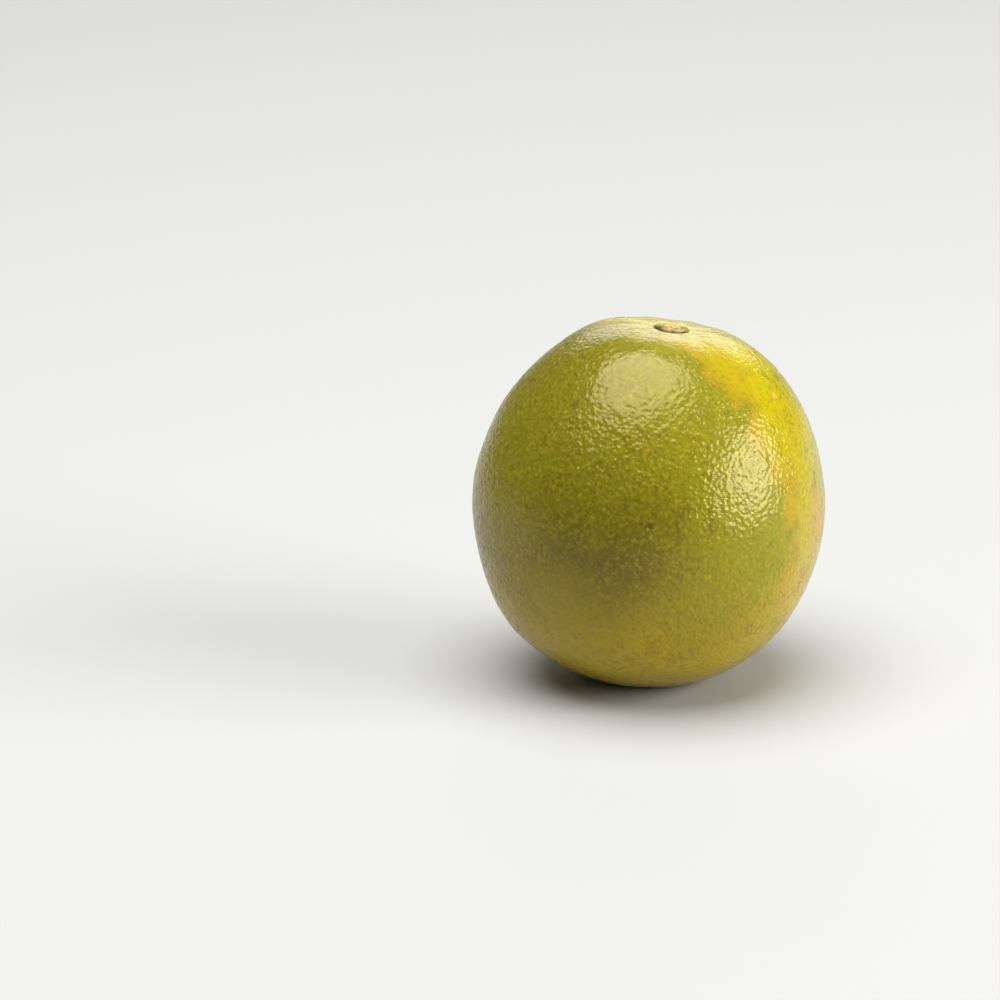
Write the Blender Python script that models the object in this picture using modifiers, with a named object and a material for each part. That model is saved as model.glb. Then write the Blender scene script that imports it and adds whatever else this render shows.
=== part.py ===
"""Pera orange: one whole, freshly picked fruit at its real size, with the dried calyx left in its stem end.

The fruit is a berry a little taller than wide, with broad shoulders round a shallow basin at the stem end.
It leans towards +X and rests on the flattened spot under it. The calyx sits in a small pit in the basin.
Metres, +Z up. The origin is on the surface the fruit rests on, under the middle of its bounding box.
"""

import math

import bpy
from mathutils import Matrix, Vector, noise

# The fruit's form about its own axis, stem end up, measured from the plane of its widest girth
EQUATOR_RADIUS = 0.0340
CROWN_HEIGHT = 0.0391  # to the stem end, before the basin is sunk into it
BASE_HEIGHT = 0.0353  # to the stylar end
CROWN_ROUNDNESS = 1.90  # superellipse exponents: 2 is an ellipse, more is squarer
BASE_ROUNDNESS = 2.10

# The basin of the stem end, and the pit at its middle that holds the calyx
BASIN_DEPTH = 0.0029
BASIN_RADIUS = 0.0143
COLLAR_DEPTH = 0.0006  # the skin dips once more, round the pit
COLLAR_RADIUS = 0.0065
PIT_DEPTH = 0.0019
PIT_FLOOR_RADIUS = 0.0027
PIT_RIM_RADIUS = 0.0035

# The small dry scar of the style, at the lower end of the axis
STYLE_SCAR_RADIUS = 0.0014
STYLE_SCAR_DEPTH = 0.0004

# Natural unevenness: broad swells all over, and shallow furrows that run out of the basin
SWELL_HEIGHT = 0.00068
SWELL_LENGTH = 0.019
SWELL_PLACE = Vector((6.9, 0.8, 4.4))  # where in the noise pattern the fruit stands
SWELL_START_RADIUS = 0.0085  # they fade out inside this, towards the rim of the pit
FURROW_COUNT = 10
FURROW_DEPTH = 0.00009
FURROW_RADIUS = 0.0100  # where they are deepest
FURROW_REACH = 0.0052

# How the fruit lies
LEAN = math.radians(7.0)  # of its axis, towards +X
FLAT_SINK = 0.00118  # how far its roundness would reach under the surface if it weren't flattened
FLAT_BLEND = 0.00015  # height over which the flat spot runs out into the round

# Facets
SEGMENTS = 64
PIT_RING_STEP = 0.00040
PIT_RINGS = 14
BODY_RINGS = 30
FLAT_RINGS = 12  # across the lower end, close enough to draw the edge of the flat spot
FLAT_RINGS_POLAR = math.radians(154.0)  # where they start, from the stem end

# The calyx, from the floor of the pit: five sepals grown together, with the broken end of the stalk on them
CALYX_GAP = 0.0003
CALYX_SEPALS = 5
CALYX_BASE_RADIUS = 0.00235
CALYX_SEPAL_RADIUS = 0.0026  # mean reach of the sepals
CALYX_LOBE = 0.00020  # how far their tips pass the mean, and their notches fall short
CALYX_LOBE_START = 0.0023
CALYX_CURL = 0.00040  # how far the tips curl up
STALK_RADIUS = 0.0022
STALK_TOP = 0.0018
CALYX_SEGMENTS = 60

FRUIT_COLOUR = (0.42, 0.38, 0.025, 1.0)
CALYX_COLOUR = (0.26, 0.19, 0.07, 1.0)


def clear_scene():
    for thing in list(bpy.data.objects):
        bpy.data.objects.remove(thing, do_unlink=True)


def plain_material(name, colour, roughness):
    material = bpy.data.materials.new(name)
    material.use_nodes = True
    shader = material.node_tree.nodes["Principled BSDF"]
    shader.inputs["Base Color"].default_value = colour
    shader.inputs["Roughness"].default_value = roughness
    shader.inputs["Metallic"].default_value = 0.0
    return material


def smooth_step(low, high, value):
    """0 below low, 1 above high, and smooth in between."""
    share = min(max((value - low) / (high - low), 0.0), 1.0)
    return share * share * (3.0 - 2.0 * share)


def superellipse_point(polar):
    """(radius, height) of the plain round form, at an angle from the stem end."""
    across, along = math.sin(polar), math.cos(polar)
    height = CROWN_HEIGHT if along > 0 else BASE_HEIGHT
    power = CROWN_ROUNDNESS if along > 0 else BASE_ROUNDNESS
    reach = (abs(across / EQUATOR_RADIUS) ** power + abs(along / height) ** power) ** (-1 / power)
    return reach * across, reach * along


def stem_end_hollow(radius):
    """How far the basin, its collar and its pit lie under the plain round form."""
    basin = BASIN_DEPTH * math.exp(-((radius / BASIN_RADIUS) ** 2))
    collar = COLLAR_DEPTH * math.exp(-((radius / COLLAR_RADIUS) ** 2))
    pit = PIT_DEPTH * (1.0 - smooth_step(PIT_FLOOR_RADIUS, PIT_RIM_RADIUS, radius))
    return basin + collar + pit


def style_scar_hollow(radius):
    return STYLE_SCAR_DEPTH * math.exp(-((radius / STYLE_SCAR_RADIUS) ** 2))


def fruit_profile():
    """(radius, height) pairs down one side, with close rings across the pit and the flat spot."""
    polars = [math.atan2(PIT_RING_STEP * i, CROWN_HEIGHT) for i in range(PIT_RINGS)]
    for end, rings in ((FLAT_RINGS_POLAR, BODY_RINGS), (math.pi, FLAT_RINGS)):
        start = polars[-1]
        polars += [start + (end - start) * i / rings for i in range(1, rings + 1)]
    profile = []
    for polar in polars:
        radius, height = superellipse_point(polar)
        radius = max(radius, 0.0)
        height += style_scar_hollow(radius) if height < 0 else -stem_end_hollow(radius)
        profile.append((radius, height))
    profile[-1] = (0.0, profile[-1][1])
    return profile


def uneven(point):
    """Moves a point of the turned form in or out as the fruit's swells and furrows do."""
    radius = math.hypot(point.x, point.y)
    swell = SWELL_HEIGHT * noise.noise(point / SWELL_LENGTH + SWELL_PLACE)
    swell *= smooth_step(PIT_RIM_RADIUS, SWELL_START_RADIUS, radius) if point.z > 0 else 1.0
    furrow = 0.0
    if point.z > 0:
        around = math.cos(FURROW_COUNT * math.atan2(point.y, point.x))
        furrow = FURROW_DEPTH * around * math.exp(-(((radius - FURROW_RADIUS) / FURROW_REACH) ** 2))
    return point + point.normalized() * (swell + furrow)


def flattened(height):
    """Lifts what would reach under the surface up onto it, with a soft edge round the flat spot."""
    if height <= -FLAT_BLEND:
        return 0.0
    if height < FLAT_BLEND:
        return (height + FLAT_BLEND) ** 2 / (4.0 * FLAT_BLEND)
    return height


def turned(name, profile, segments):
    """A mesh object turned from a profile of (radius, height) pairs, from the top down to the axis."""
    outline = bpy.data.meshes.new(name + "_profile")
    points = [(radius, 0.0, height) for radius, height in profile]
    outline.from_pydata(points, [(i, i + 1) for i in range(len(points) - 1)], [])
    blank = bpy.data.objects.new(name + "_profile", outline)
    bpy.context.scene.collection.objects.link(blank)
    screw = blank.modifiers.new("turn", "SCREW")
    screw.steps = segments
    screw.render_steps = segments
    screw.use_merge_vertices = True
    screw.merge_threshold = 0.00001
    bpy.context.view_layer.update()
    graph = bpy.context.evaluated_depsgraph_get()
    mesh = bpy.data.meshes.new_from_object(blank.evaluated_get(graph))
    mesh.name = name
    bpy.data.objects.remove(blank, do_unlink=True)
    return bpy.data.objects.new(name, mesh)


def make_axis():
    """An empty at the middle of the fruit, turned as the fruit leans."""
    axis = bpy.data.objects.new("fruit_axis", None)
    axis.empty_display_size = EQUATOR_RADIUS
    axis.rotation_euler = (0.0, LEAN, 0.0)
    return axis


def make_fruit(axis):
    """The whole berry as one solid. The axis is placed so that the fruit's box stands over the origin."""
    fruit = turned("fruit", fruit_profile(), SEGMENTS)
    tilt = Matrix.Rotation(LEAN, 3, "Y")
    points = [tilt @ uneven(vertex.co) for vertex in fruit.data.vertices]
    lowest = min(point.z for point in points)
    middle = Vector((
        (min(point.x for point in points) + max(point.x for point in points)) / 2,
        (min(point.y for point in points) + max(point.y for point in points)) / 2,
        lowest + FLAT_SINK,
    ))
    for vertex, point in zip(fruit.data.vertices, points):
        place = point - middle
        vertex.co = (place.x, place.y, flattened(place.z))
    axis.location = -middle
    fruit.data.materials.append(plain_material("peel", FRUIT_COLOUR, 0.38))
    return fruit


def calyx_profile():
    """(radius, height) pairs from the middle of the broken stalk, out over the sepals and back under them."""
    return [
        (0.0, STALK_TOP - 0.00030),
        (0.45 * STALK_RADIUS, STALK_TOP - 0.00022),
        (0.80 * STALK_RADIUS, STALK_TOP),
        (0.96 * STALK_RADIUS, STALK_TOP - 0.00015),
        (STALK_RADIUS, STALK_TOP - 0.00040),
        (1.02 * STALK_RADIUS, 0.00110),
        (CALYX_LOBE_START + 0.00005, 0.00090),
        (CALYX_BASE_RADIUS, 0.00080),
        (CALYX_SEPAL_RADIUS - 0.00012, 0.00072),
        (CALYX_SEPAL_RADIUS, 0.00055),
        (CALYX_SEPAL_RADIUS - 0.00010, 0.00030),
        (CALYX_BASE_RADIUS, 0.0),
        (0.5 * CALYX_BASE_RADIUS, 0.0),
        (0.0, 0.0),
    ]


def make_calyx(axis):
    """The dried calyx: a turned disc whose rim is drawn out into sepals that curl up at their tips."""
    calyx = turned("calyx", calyx_profile(), CALYX_SEGMENTS)
    for vertex in calyx.data.vertices:
        radius = math.hypot(vertex.co.x, vertex.co.y)
        outer = smooth_step(CALYX_LOBE_START, CALYX_SEPAL_RADIUS, radius)
        lobe = math.cos(CALYX_SEPALS * math.atan2(vertex.co.y, vertex.co.x))
        stretch = 1.0 + outer * lobe * CALYX_LOBE / CALYX_SEPAL_RADIUS
        curl = outer * CALYX_CURL * (0.5 + 0.5 * lobe)
        vertex.co = (vertex.co.x * stretch, vertex.co.y * stretch, vertex.co.z + curl)
    calyx.parent = axis
    calyx.location = (0.0, 0.0, CROWN_HEIGHT - stem_end_hollow(0.0) + CALYX_GAP)
    calyx.data.materials.append(plain_material("dried_calyx", CALYX_COLOUR, 0.85))
    return calyx


def main():
    clear_scene()
    collection = bpy.data.collections.new("pera_orange")
    bpy.context.scene.collection.children.link(collection)
    axis = make_axis()
    for thing in (axis, make_fruit(axis), make_calyx(axis)):
        collection.objects.link(thing)
        if thing.type == "MESH":
            thing.data.shade_smooth()
    bpy.context.view_layer.update()


main()
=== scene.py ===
"""Pera orange: one whole, ripening fruit with its dried calyx, on a pale table under soft studio light."""

import math
import random

import bmesh
import bpy
from mathutils import Matrix, Vector, kdtree, noise


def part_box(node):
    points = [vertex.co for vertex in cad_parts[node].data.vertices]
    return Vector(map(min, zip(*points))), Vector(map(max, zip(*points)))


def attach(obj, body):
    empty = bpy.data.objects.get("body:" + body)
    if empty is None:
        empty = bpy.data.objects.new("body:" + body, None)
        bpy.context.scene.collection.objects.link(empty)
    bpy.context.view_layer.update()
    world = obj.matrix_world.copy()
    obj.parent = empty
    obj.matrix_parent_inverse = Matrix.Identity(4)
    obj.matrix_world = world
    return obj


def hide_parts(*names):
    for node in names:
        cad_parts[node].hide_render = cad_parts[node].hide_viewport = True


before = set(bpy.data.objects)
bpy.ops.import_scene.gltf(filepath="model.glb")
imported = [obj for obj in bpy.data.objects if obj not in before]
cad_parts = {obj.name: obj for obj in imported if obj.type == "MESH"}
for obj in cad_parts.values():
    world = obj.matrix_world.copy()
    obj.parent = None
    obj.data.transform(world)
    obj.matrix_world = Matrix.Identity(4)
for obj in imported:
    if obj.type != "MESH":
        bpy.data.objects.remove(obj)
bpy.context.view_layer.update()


# Peel, its form. The real skin is stretched over the whole berry in one piece, a little taller than it is
# wide, with broad shoulders round the basin of the stem end. It leans towards +X and is pressed flat where it
# rests. These are the sizes that the solid fruit has too, in metres.
girth_radius = 0.0340
crown_height, crown_roundness = 0.0391, 1.90
base_height, base_roundness = 0.0353, 2.10
basin_depth, basin_radius = 0.0029, 0.0143
collar_depth, collar_radius = 0.0006, 0.0065
pit_depth, pit_floor_radius, pit_rim_radius = 0.0019, 0.0027, 0.0035
style_scar_depth, style_scar_radius = 0.0004, 0.0014
swell_height, swell_length, swell_start_radius = 0.00068, 0.019, 0.0085
swell_place = Vector((6.9, 0.8, 4.4))  # where in the noise pattern the fruit stands
furrow_count, furrow_depth, furrow_radius, furrow_reach = 10, 0.00009, 0.0100, 0.0052
lean = Matrix.Rotation(math.radians(7.0), 3, "Y")
flat_sink, flat_blend = 0.00118, 0.00015


def smooth_step(low, high, value):
    share = min(max((value - low) / (high - low), 0.0), 1.0)
    return share * share * (3.0 - 2.0 * share)


def berry_point(direction):
    """The smooth skin in a direction from the middle of the berry, with the stem end up."""
    across, along = math.hypot(direction.x, direction.y), direction.z
    height, power = (crown_height, crown_roundness) if along > 0 else (base_height, base_roundness)
    reach = (abs(across / girth_radius) ** power + abs(along / height) ** power) ** (-1 / power)
    point = direction * reach
    radius = across * reach
    swell = swell_height
    furrow = 0.0
    if along > 0:
        point.z -= basin_depth * math.exp(-((radius / basin_radius) ** 2))
        point.z -= collar_depth * math.exp(-((radius / collar_radius) ** 2))
        point.z -= pit_depth * (1.0 - smooth_step(pit_floor_radius, pit_rim_radius, radius))
        swell *= smooth_step(pit_rim_radius, swell_start_radius, radius)
        furrow = furrow_depth * math.cos(furrow_count * math.atan2(point.y, point.x))
        furrow *= math.exp(-(((radius - furrow_radius) / furrow_reach) ** 2))
    else:
        point.z += style_scar_depth * math.exp(-((radius / style_scar_radius) ** 2))
    swell *= noise.noise(point / swell_length + swell_place)
    return point + point.normalized() * (swell + furrow)


def flattened(height):
    """Lifts what would reach under the table up onto it, with a soft edge round the flat spot."""
    if height <= -flat_blend:
        return 0.0
    if height < flat_blend:
        return (height + flat_blend) ** 2 / (4.0 * flat_blend)
    return height


# Peel, its glands. Thousands of oil glands lie just under the wax, and the skin dips a little over each.
# Their middles are scattered evenly over the berry, the hull of them is the skin, and each edge is cut in
# three. Towards the stem end they get shallower, and finer rings of points draw the pit.
gland_count = 10450
gland_scatter = 0.34  # off their even places, as a share of the pitch
gland_dip, gland_width = 0.000165, 0.00062
small_gland_share, small_gland_depths, large_gland_depths = 0.6, (0.15, 0.45), (0.6, 1.0)  # depths in dips
dead_gland_share, dead_gland_shades = 0.003, (0.3, 0.9)
fade_radius, full_radius = 0.0020, 0.0300  # from the axis, over which the glands get deeper
ripple_height, ripple_length = 0.000047, 0.0024
wave_height, wave_length = 0.000060, 0.0065
ring_crown_polar, pit_ring_step = 0.150, 0.00050

dice = random.Random(20)
peel_mesh = bmesh.new()
gland_pitch = math.sqrt(4.0 * math.pi / gland_count)
golden_angle = math.pi * (3.0 - math.sqrt(5.0))
for index in range(gland_count):
    level = 1.0 - (2.0 * index + 1.0) / gland_count
    turn = golden_angle * index
    across = math.sqrt(1.0 - level * level)
    spot = Vector((across * math.cos(turn), across * math.sin(turn), level))
    stray = Vector((dice.uniform(-1, 1), dice.uniform(-1, 1), dice.uniform(-1, 1)))
    spot += gland_scatter * gland_pitch * stray
    if spot.angle(Vector((0, 0, 1))) > ring_crown_polar:
        peel_mesh.verts.new(spot.normalized())
peel_mesh.verts.new((0, 0, 1))
for ring in range(1, 1 + int(ring_crown_polar * crown_height / pit_ring_step)):
    ring_polar = ring * pit_ring_step / crown_height
    ring_points = round(math.tau * ring)
    for index in range(ring_points):
        turn = math.tau * (index + 0.5 * (ring % 2)) / ring_points
        across = math.sin(ring_polar)
        peel_mesh.verts.new((across * math.cos(turn), across * math.sin(turn), math.cos(ring_polar)))
bmesh.ops.convex_hull(peel_mesh, input=peel_mesh.verts[:])
gland_tree = kdtree.KDTree(len(peel_mesh.verts))
for index, vertex in enumerate(peel_mesh.verts):
    gland_tree.insert(vertex.co, index)
gland_tree.balance()
gland_depths = [
    dice.uniform(*(small_gland_depths if dice.random() < small_gland_share else large_gland_depths))
    for _ in peel_mesh.verts
]
gland_shades = [
    dice.uniform(*dead_gland_shades) if dice.random() < dead_gland_share else 0.0 for _ in peel_mesh.verts
]
bmesh.ops.subdivide_edges(peel_mesh, edges=peel_mesh.edges[:], cuts=2, use_grid_fill=True)

gland_layer = peel_mesh.verts.layers.float.new("gland")
speck_layer = peel_mesh.verts.layers.float.new("speck")
for vertex in peel_mesh.verts:
    direction = vertex.co.normalized()
    point = berry_point(direction)
    radius = math.hypot(point.x, point.y)
    skin = smooth_step(fade_radius, full_radius, radius) if point.z > 0 else 1.0
    _, index, distance = gland_tree.find(direction)
    spread = distance * point.length / gland_width
    gland = skin * gland_depths[index] * max(1.0 - spread * spread, 0.0) ** 2
    ripple = ripple_height * noise.noise(point / ripple_length)
    wave = wave_height * noise.noise(point / wave_length)
    vertex.co = lean @ (point + direction * (skin * (ripple + wave) - gland_dip * gland))
    vertex[gland_layer] = gland
    vertex[speck_layer] = skin * gland_shades[index] * max(1.0 - spread * spread, 0.0)

fruit_low, fruit_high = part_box("fruit")
xs = [vertex.co.x for vertex in peel_mesh.verts]
ys = [vertex.co.y for vertex in peel_mesh.verts]
berry_middle = Vector((
    (fruit_low.x + fruit_high.x - min(xs) - max(xs)) / 2,
    (fruit_low.y + fruit_high.y - min(ys) - max(ys)) / 2,
    -flat_sink - min(vertex.co.z for vertex in peel_mesh.verts),
))
for vertex in peel_mesh.verts:
    vertex.co += berry_middle
    vertex.co.z = flattened(vertex.co.z)
bmesh.ops.recalc_face_normals(peel_mesh, faces=peel_mesh.faces[:])
for face in peel_mesh.faces:
    face.smooth = True


# Peel, its surface. Living citrus skin under its own film of wax, olive green that ripens from the stem end
# and from the side that saw the sun. Painted shade darkens the side in front and the pit, and a painted sheen
# partly pales the skin round the stem end. The eye gets a soft yellowish shine, broken up by the glands, over
# a cloudy colour.
def linear_colour(code):
    """sRGB hex to linear colour."""
    parts = [int(code[i:i + 2], 16) / 255 for i in (0, 2, 4)]
    return tuple(c / 12.92 if c <= 0.04045 else ((c + 0.055) / 1.055) ** 2.4 for c in parts) + (1.0,)


def add_node(material, kind, settings, inputs):
    """A node with its settings. An input, by name or place, is a value or the socket that feeds it."""
    node = material.node_tree.nodes.new(kind)
    for name, value in settings.items():
        setattr(node, name, value)
    for name, value in inputs.items():
        if isinstance(value, bpy.types.NodeSocket):
            material.node_tree.links.new(value, node.inputs[name])
        else:
            node.inputs[name].default_value = value
    return node


def new_material(name):
    material = bpy.data.materials.new(name)
    material.use_nodes = True
    return material, material.node_tree.nodes["Principled BSDF"]


peel, peel_shader = new_material("waxed_citrus_peel")
peel_place = add_node(peel, "ShaderNodeTexCoord", {}, {}).outputs["Object"]
millimetres = add_node(
    peel, "ShaderNodeMapping", {"vector_type": "POINT"},
    {"Vector": peel_place, "Location": tuple(-1000 * berry_middle), "Scale": (1000, 1000, 1000)},
).outputs["Vector"]
cloud_size, patch_size, fleck_size, grain_size, small_gland_pitch = 13.0, 4.2, 0.95, 0.5, 0.85
cloud, patch, fleck, grain = [
    add_node(
        peel, "ShaderNodeTexNoise", {},
        {"Vector": millimetres, "Scale": 1.0 / size, "Detail": 2.0, "Roughness": 0.55},
    ).outputs["Fac"]
    for size in (cloud_size, patch_size, fleck_size, grain_size)
]
small_glands = add_node(
    peel, "ShaderNodeTexVoronoi", {"feature": "SMOOTH_F1"},
    {"Vector": millimetres, "Scale": 1.0 / small_gland_pitch, "Smoothness": 0.6, "Detail": 0.0},
).outputs["Distance"]
coats = []  # the colours over the unripe skin, each with the socket that says how well it covers

# Glazes of colour. The cover of each grows towards a direction from the middle of the berry, from low to
# high in girth radii, and clouds, patches and flecks break up its edge by their shares. One without a
# direction lies in clouds, patches or flecks all over.
unripe_olive = "766715"
glazes = (
    # colour, towards, shares of cloud, patch and fleck, low, high, greatest cover
    ("838010", (0.90, 0.30, -0.30), (0.60, 0.50, 0.20), -0.75, 0.55, 1.0),
    # The next glaze is painted shade: darker olive-brown on the side towards the front and left, partly also
    # the skin's own olive.
    ("52460f", (-0.30, -0.95, 0.06), (0.30, 0.25, 0.10), 0.82, 1.02, 0.90),
    ("777313", (-0.25, -0.10, 1.00), (0.40, 0.40, 0.20), -0.05, 0.75, 0.7),
    ("ae9416", (0.00, 0.00, -1.00), (0.50, 0.50, 0.30), -0.05, 0.85, 1.0),
    ("c08a1c", (0.60, 0.80, 0.10), (0.50, 0.40, 0.35), -0.12, 0.01, 0.43),
    ("a89806", (0.60, 0.80, 0.10), (0.50, 0.40, 0.35), -0.06, 0.15, 1.0),
    ("828210", (0.60, 0.80, 0.10), (0.90, 0.70, 0.20), 0.33, 0.65, 0.75),
    ("b8861c", (0.90, 0.05, -0.40), (0.90, 0.70, 0.20), 0.78, 1.10, 0.5),
    ("6e5212", (0.00, 0.00, 0.00), (0.80, 1.20, 0.20), 0.00, 0.45, 0.4),
    ("6a7814", (0.00, 0.00, 0.00), (0.30, -1.20, 0.20), 0.00, 0.45, 0.4),
    ("4c4510", (0.00, 0.00, 0.00), (0.00, 0.20, 1.00), 0.00, 0.28, 0.45),
    ("ab9c2c", (0.00, 0.00, 0.00), (0.00, 0.60, -1.20), 0.02, 0.30, 0.28),
)
for colour, towards, shares, low, high, greatest in glazes:
    per_girth_radius = tuple(value / (1000 * girth_radius) for value in towards)
    reach = add_node(
        peel, "ShaderNodeVectorMath", {"operation": "DOT_PRODUCT"}, {0: millimetres, 1: per_girth_radius}
    ).outputs["Value"]
    for pattern, share in zip((cloud, patch, fleck), shares):
        reach = add_node(
            peel, "ShaderNodeMath", {"operation": "MULTIPLY_ADD"}, {0: pattern, 1: share, 2: reach}
        ).outputs["Value"]
    even = sum(shares) / 2
    cover = add_node(
        peel, "ShaderNodeMapRange", {"interpolation_type": "SMOOTHSTEP"},
        {"Value": reach, "From Min": low + even, "From Max": high + even, "To Max": greatest},
    ).outputs["Result"]
    coats.append((cover, colour))

# Marks of its own, each by its place in millimetres from the middle of the berry: the pale skin round the
# stem end, partly a painted sheen, the dark in the pit, partly dead skin and partly painted shade, three
# faint patches, then healed pricks and stains of the side in front.
stem_end = 1000 * (lean @ berry_point(Vector((0, 0, 1))))
# The painted shade in the pit is shifted a little towards the front and left of its middle.
pit_shadow_shift = Vector((-0.5, -0.4, 0.0))
marks = (
    # place, outer and inner radius in millimetres, colour, greatest cover
    # Paler skin round the stem end: partly its own colour, partly a painted sheen.
    (stem_end, 16.0, 4.0, "a69a4c", 0.75),
    # Painted shade in the pit, partly also the brown of its dead skin.
    (stem_end + pit_shadow_shift, 4.1, 3.3, "33290c", 0.90),
    ((31.9, -10.5, 1.0), 7.0, 1.0, "b98520", 0.55),
    ((13.0, -28.2, -13.8), 14.0, 2.0, "7c7210", 0.55),
    ((-16.8, -28.3, -8.5), 10.0, 1.0, "988a16", 0.32),
    ((-4.6, -32.2, 9.3), 1.2, 0.3, "4f4812", 0.50),
    ((9.7, -22.6, 25.4), 0.6, 0.3, "6d6440", 0.60),
    ((23.8, -10.3, 24.9), 0.9, 0.3, "e8a070", 0.60),
    ((29.2, -11.0, -14.2), 0.9, 0.4, "5a4416", 0.70),
    ((11.0, -32.0, -4.2), 1.0, 0.3, "c08a12", 0.50),
    ((0.0, -33.5, 6.0), 1.2, 0.3, "3e340c", 0.75),
    ((-0.2, -33.6, 5.6), 0.45, 0.10, "b3a866", 0.45),
)
for place, outer, inner, colour, greatest in marks:
    distance = add_node(
        peel, "ShaderNodeVectorMath", {"operation": "DISTANCE"}, {0: millimetres, 1: place}
    ).outputs["Value"]
    cover = add_node(
        peel, "ShaderNodeMapRange", {"interpolation_type": "SMOOTHSTEP"},
        {"Value": distance, "From Min": outer, "From Max": inner, "To Max": greatest},
    ).outputs["Result"]
    coats.append((cover, colour))

# The glands show as dots: those of the mesh and the smaller ones between them are a little lighter than the
# skin, and a few have died and turned brown.
large_dots = add_node(peel, "ShaderNodeAttribute", {"attribute_name": "gland"}, {}).outputs["Fac"]
dead_dots = add_node(peel, "ShaderNodeAttribute", {"attribute_name": "speck"}, {}).outputs["Fac"]
small_dot_edge, small_dot_middle = 0.50, 0.10  # in small gland pitches
small_dots = add_node(
    peel, "ShaderNodeMapRange", {"interpolation_type": "SMOOTHSTEP"},
    {"Value": small_glands, "From Min": small_dot_edge, "From Max": small_dot_middle},
).outputs["Result"]
gland_dots = (
    # pattern, colour, greatest cover
    (large_dots, "b0a024", 0.16),
    (small_dots, "a89820", 0.20),
    (dead_dots, "4a3c14", 0.7),
)
for dots, colour, greatest in gland_dots:
    cover = add_node(peel, "ShaderNodeMath", {"operation": "MULTIPLY"}, {0: dots, 1: greatest})
    coats.append((cover.outputs["Value"], colour))

skin_colour = linear_colour(unripe_olive)
for cover, colour in coats:
    skin_colour = add_node(
        peel, "ShaderNodeMix", {"data_type": "RGBA"}, {0: cover, 6: skin_colour, 7: linear_colour(colour)}
    ).outputs[2]
peel.node_tree.links.new(skin_colour, peel_shader.inputs["Base Color"])

# The wax is glossy and uneven. Under it the small glands and a fine grain pebble the skin, but hardly so on
# one smooth shoulder, where the upper shine lies.
wax_roughness, wax_unevenness = 0.13, 0.10
grain_share, pebble_height = 0.5, 0.00014
smooth_shoulder = (-2.0, -17.0, 29.5)  # in millimetres from the middle of the berry, as the two radii are
shoulder_inner, shoulder_outer, shoulder_strength = 4.0, 16.0, 0.35

wax_film = add_node(
    peel, "ShaderNodeMath", {"operation": "MULTIPLY_ADD"}, {0: fleck, 1: wax_unevenness, 2: wax_roughness}
).outputs["Value"]
peel.node_tree.links.new(wax_film, peel_shader.inputs["Roughness"])
peel_shader.inputs["IOR"].default_value = 1.50
peel_shader.inputs["Specular Tint"].default_value = linear_colour("ffeebb")
pebbles = add_node(
    peel, "ShaderNodeMath", {"operation": "MULTIPLY_ADD"}, {0: grain, 1: grain_share, 2: small_glands}
).outputs["Value"]
from_shoulder = add_node(
    peel, "ShaderNodeVectorMath", {"operation": "DISTANCE"}, {0: millimetres, 1: smooth_shoulder}
).outputs["Value"]
pebble_strength = add_node(
    peel, "ShaderNodeMapRange", {"interpolation_type": "SMOOTHSTEP"},
    {
        "Value": from_shoulder, "From Min": shoulder_inner, "From Max": shoulder_outer,
        "To Min": shoulder_strength, "To Max": 1.0,
    },
).outputs["Result"]
peel_relief = add_node(
    peel, "ShaderNodeBump", {}, {"Height": pebbles, "Strength": pebble_strength, "Distance": pebble_height}
)
peel.node_tree.links.new(peel_relief.outputs["Normal"], peel_shader.inputs["Normal"])

peel_skin_mesh = bpy.data.meshes.new("peel_skin")
peel_mesh.to_mesh(peel_skin_mesh)
peel_mesh.free()
peel_skin = bpy.data.objects.new("peel_skin", peel_skin_mesh)
bpy.context.scene.collection.objects.link(peel_skin)
peel_skin_mesh.materials.append(peel)
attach(peel_skin, "root")
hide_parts("fruit")


# Calyx. Five small sepals, dried and grown together, with the broken end of the fruit stalk in their middle.
# It stands in the pit of the stem end. Dead, dry plant tissue: turned from its profile, then drawn out into
# sepals, worn uneven at the stalk and crinkled all over.
calyx_gap = 0.0003
calyx_steps = 160
sepal_count, sepal_radius, sepal_lobe, sepal_curl = 5, 0.0026, 0.00034, 0.00040
lobe_start = 0.0023
stalk_radius, stalk_low, stalk_high = 0.0022, 0.0008, 0.0014
stalk_lobe, stalk_ragged, ragged_length = 0.07, 0.22, 0.0016
stalk_shift, stalk_tip = Vector((0.00032, 0.00042, 0.0)), Vector((-0.07, -0.06, 0.0))
crinkle_height, crinkle_length = 0.00016, 0.0007
fibre_height, fibre_length = 0.00026, 0.00060
straw_lit_low, straw_lit_high = 0.0010, 0.0017  # the heights between which it turns from brown to straw, partly weathering, partly painted light
straw_lit_inner, straw_lit_outer = -0.2, 0.8  # and the same across the stalk's end, in stalk radii, kept dark in its hollow as painted shade

calyx_profile = [
    (0.0000, 0.00135), (0.0005, 0.00137), (0.0010, 0.00150), (0.0014, 0.00168), (0.0017, 0.00182),
    (0.0019, 0.00180), (0.0021, 0.00168), (0.0022, 0.00150), (0.00225, 0.00130), (0.00226, 0.00112),
    (0.00230, 0.00098), (0.00236, 0.00090), (0.00242, 0.00088), (0.00252, 0.00086), (0.0026, 0.00076),
    (0.0026, 0.00064), (0.00252, 0.00048), (0.00244, 0.00028), (0.00235, 0.00010), (0.0021, 0.00002),
    (0.0, 0.0),
]
calyx_mesh = bmesh.new()
rim = [calyx_mesh.verts.new((radius, 0.0, height)) for radius, height in calyx_profile]
for upper, lower in zip(rim, rim[1:]):
    calyx_mesh.edges.new((upper, lower))
bmesh.ops.spin(
    calyx_mesh, geom=calyx_mesh.verts[:] + calyx_mesh.edges[:], cent=(0, 0, 0), axis=(0, 0, 1),
    angle=math.tau, steps=calyx_steps, use_merge=True,
)
bmesh.ops.remove_doubles(calyx_mesh, verts=calyx_mesh.verts[:], dist=1e-6)
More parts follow.
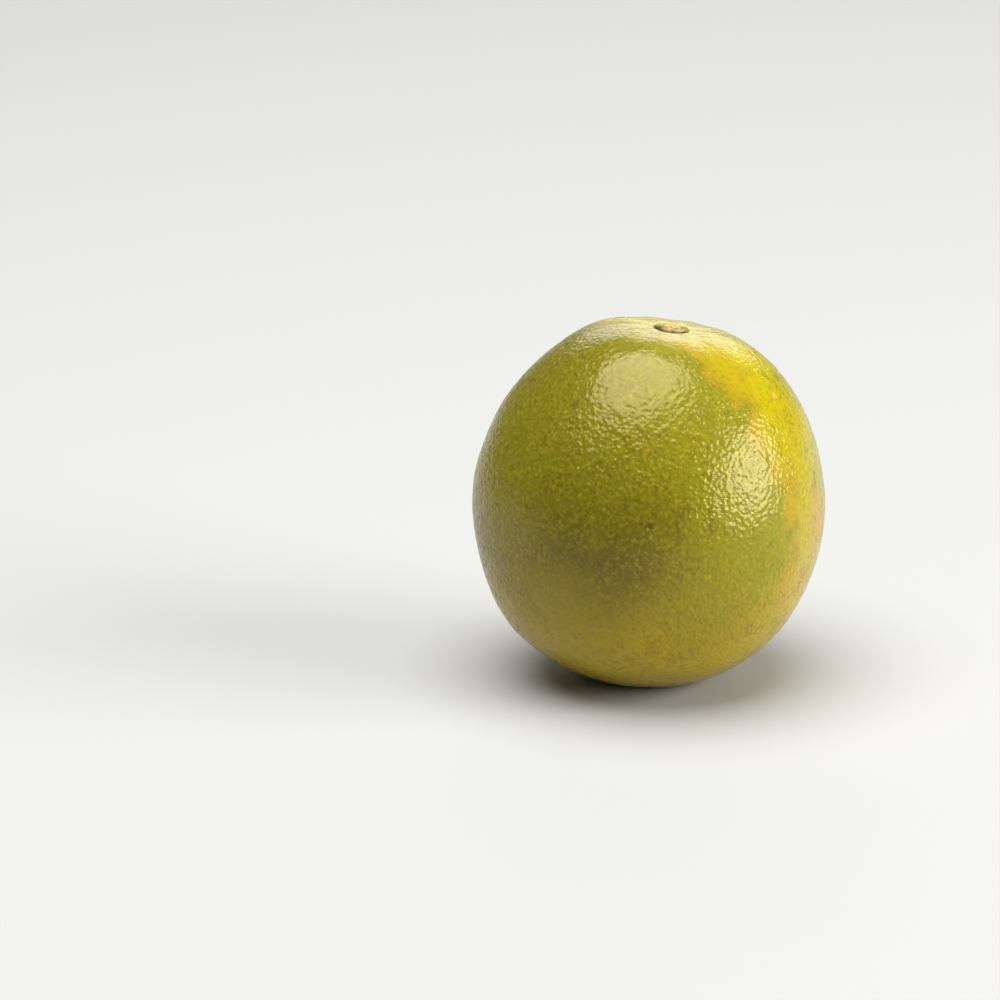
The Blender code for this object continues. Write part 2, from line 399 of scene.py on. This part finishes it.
bmesh.ops.recalc_face_normals(calyx_mesh, faces=calyx_mesh.faces[:])
calyx_foot = berry_point(Vector((0, 0, 1))) + Vector((0, 0, calyx_gap))
straw_lit_layer = calyx_mesh.verts.layers.float.new("straw_lit_top")
for vertex in calyx_mesh.verts:
    point = vertex.co.copy()
    radius = math.hypot(point.x, point.y)
    outer = smooth_step(lobe_start, sepal_radius, radius)
    lobe = math.cos(sepal_count * math.atan2(point.y, point.x))
    curl = outer * sepal_curl * (0.5 + 0.5 * lobe)
    crinkle = outer * crinkle_height * noise.noise(point / crinkle_length)
    stalk = smooth_step(stalk_low, stalk_high, point.z)
    fibre = stalk * fibre_height * noise.noise(point / fibre_length)
    worn = stalk_ragged * noise.noise(point / ragged_length)
    # Straw towards the top and dark low down and in the hollow of the stalk's end: partly weathering, partly
    # painted light on the top and painted shade below and in the hollow.
    straw_and_lit = smooth_step(straw_lit_low, straw_lit_high, point.z + fibre + curl)
    straw_and_lit *= smooth_step(straw_lit_inner, straw_lit_outer, worn + radius / stalk_radius)
    vertex[straw_lit_layer] = straw_and_lit
    stretch = 1.0 + outer * lobe * sepal_lobe / sepal_radius + stalk * (stalk_lobe * lobe + worn)
    point.x *= stretch
    point.y *= stretch
    point.z += curl + crinkle + fibre
    point += stalk * (stalk_shift + Vector((0, 0, point.dot(stalk_tip))))
    vertex.co = lean @ (point + calyx_foot) + berry_middle
for face in calyx_mesh.faces:
    face.smooth = True

# Dead husk: dry, matt and fibrous, dark brown low down and in its hollows, partly as painted shade, and straw
# on its raised top, partly from weathering and partly as painted light.
husk, husk_shader = new_material("dried_calyx_husk")
husk_place = add_node(husk, "ShaderNodeTexCoord", {}, {}).outputs["Object"]
husk_patch_size, husk_fibre_size = 0.0008, 0.00025
husk_patch, husk_fibre = [
    add_node(
        husk, "ShaderNodeTexNoise", {}, {"Vector": husk_place, "Scale": 1.0 / size, "Detail": 2.0}
    ).outputs["Fac"]
    for size in (husk_patch_size, husk_fibre_size)
]
# The painted light on the husk's top, together with its weathering: 1 where it turns straw, 0 where it stays
# dark.
husk_straw_lit = add_node(husk, "ShaderNodeAttribute", {"attribute_name": "straw_lit_top"}, {}).outputs["Fac"]
# The dark brown base is partly the husk's own colour and partly painted shade on its sides and in the hollow.
husk_colour = linear_colour("3f3216")
husk_coats = (
    # pattern, low, high, colour, greatest cover
    (husk_straw_lit, 0.05, 0.80, "b3a164", 1.0),
    (husk_patch, 0.46, 0.64, "6e5a2e", 0.85),
    (husk_fibre, 0.48, 0.30, "4d3c1a", 0.5),
)
for pattern, low, high, colour, greatest in husk_coats:
    cover = add_node(
        husk, "ShaderNodeMapRange", {"interpolation_type": "SMOOTHSTEP"},
        {"Value": pattern, "From Min": low, "From Max": high, "To Max": greatest},
    ).outputs["Result"]
    husk_colour = add_node(
        husk, "ShaderNodeMix", {"data_type": "RGBA"}, {0: cover, 6: husk_colour, 7: linear_colour(colour)}
    ).outputs[2]
husk.node_tree.links.new(husk_colour, husk_shader.inputs["Base Color"])
husk_shader.inputs["Roughness"].default_value = 0.85
husk_relief = add_node(
    husk, "ShaderNodeBump", {}, {"Height": husk_fibre, "Strength": 0.6, "Distance": 0.0001}
)
husk.node_tree.links.new(husk_relief.outputs["Normal"], husk_shader.inputs["Normal"])

calyx_fine_mesh = bpy.data.meshes.new("dried_calyx")
calyx_mesh.to_mesh(calyx_fine_mesh)
calyx_mesh.free()
dried_calyx = bpy.data.objects.new("dried_calyx", calyx_fine_mesh)
bpy.context.scene.collection.objects.link(dried_calyx)
calyx_fine_mesh.materials.append(husk)
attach(dried_calyx, "root")
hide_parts("calyx")


# Table top: a plain pale sheet that the fruit lies on. It isn't part of the object. Matt white card gives
# the eye no shine, only the fruit's soft shadow.
floor_half_width = 3.0
floor_mesh = bmesh.new()
bmesh.ops.create_grid(floor_mesh, x_segments=1, y_segments=1, size=floor_half_width)
floor_data = bpy.data.meshes.new("table_top")
floor_mesh.to_mesh(floor_data)
floor_mesh.free()
floor = bpy.data.objects.new("table_top", floor_data)
bpy.context.scene.collection.objects.link(floor)
card, card_shader = new_material("matt_white_card")
card_shader.inputs["Base Color"].default_value = linear_colour("b2b2af")
card_shader.inputs["Roughness"].default_value = 0.9
floor_data.materials.append(card)


# Light. A wide softbox over the fruit and a smaller, stronger one at its right give the two shines on the
# peel. A backdrop behind lights its rim and crown, and the rest of the room is dim.
def softbox(name, direction, distance, width, depth, radiance):
    """An oval lamp that faces the berry from a direction and distance. Its power grows with its area."""
    lamp = bpy.data.lights.new(name, "AREA")
    lamp.shape = "ELLIPSE"
    lamp.size, lamp.size_y = width, depth
    lamp.energy = radiance * width * depth * math.pi
    box = bpy.data.objects.new(name, lamp)
    bpy.context.scene.collection.objects.link(box)
    box.location = berry_middle + direction.normalized() * distance
    box.rotation_euler = direction.to_track_quat("Z", "Y").to_euler()
    box.visible_camera = False


softbox("overhead_softbox", Vector((-0.11, -0.09, 1.0)), 1.6, 1.75, 1.90, 4.8)
softbox("right_softbox", Vector((0.906, -0.273, 0.330)), 1.8, 1.50, 1.06, 8.4)
softbox("backdrop", Vector((0.06, 1.0, 0.42)), 1.8, 1.60, 0.90, 1.5)
room = bpy.data.worlds.new("dim_room")
room.use_nodes = True
room.node_tree.nodes["Background"].inputs["Color"].default_value = linear_colour("ffffff")
room.node_tree.nodes["Background"].inputs["Strength"].default_value = 0.09
bpy.context.scene.world = room
bpy.context.scene.view_settings.view_transform = "Standard"
bpy.context.scene.view_settings.look = "None"


# Camera: as far off and as high as in the photograph, with the berry where it stands there.
# The frame is 1000 pixels wide, and the middle of the berry shows at this pixel of it.
camera_distance = 0.900
camera_elevation = math.radians(17.0)
sensor_width, lens = 36.0, 167.4
frame_pixels = 1000.0
middle_pixel = (648.9, 505.4)

pixel_angle = sensor_width / lens / frame_pixels
seen_at = Vector((
    (middle_pixel[0] - frame_pixels / 2) * pixel_angle,
    (frame_pixels / 2 - middle_pixel[1]) * pixel_angle,
    -1.0,
))
camera_data = bpy.data.cameras.new("camera")
camera_data.sensor_width, camera_data.lens = sensor_width, lens
camera_data.clip_start = 0.05
camera = bpy.data.objects.new("camera", camera_data)
bpy.context.scene.collection.objects.link(camera)
to_camera = Vector((0.0, -math.cos(camera_elevation), math.sin(camera_elevation)))
camera.location = berry_middle + to_camera * camera_distance
aim = to_camera.to_track_quat("Z", "Y") @ seen_at.rotation_difference(Vector((0, 0, -1)))
camera.rotation_euler = aim.to_euler()
bpy.context.scene.camera = camera
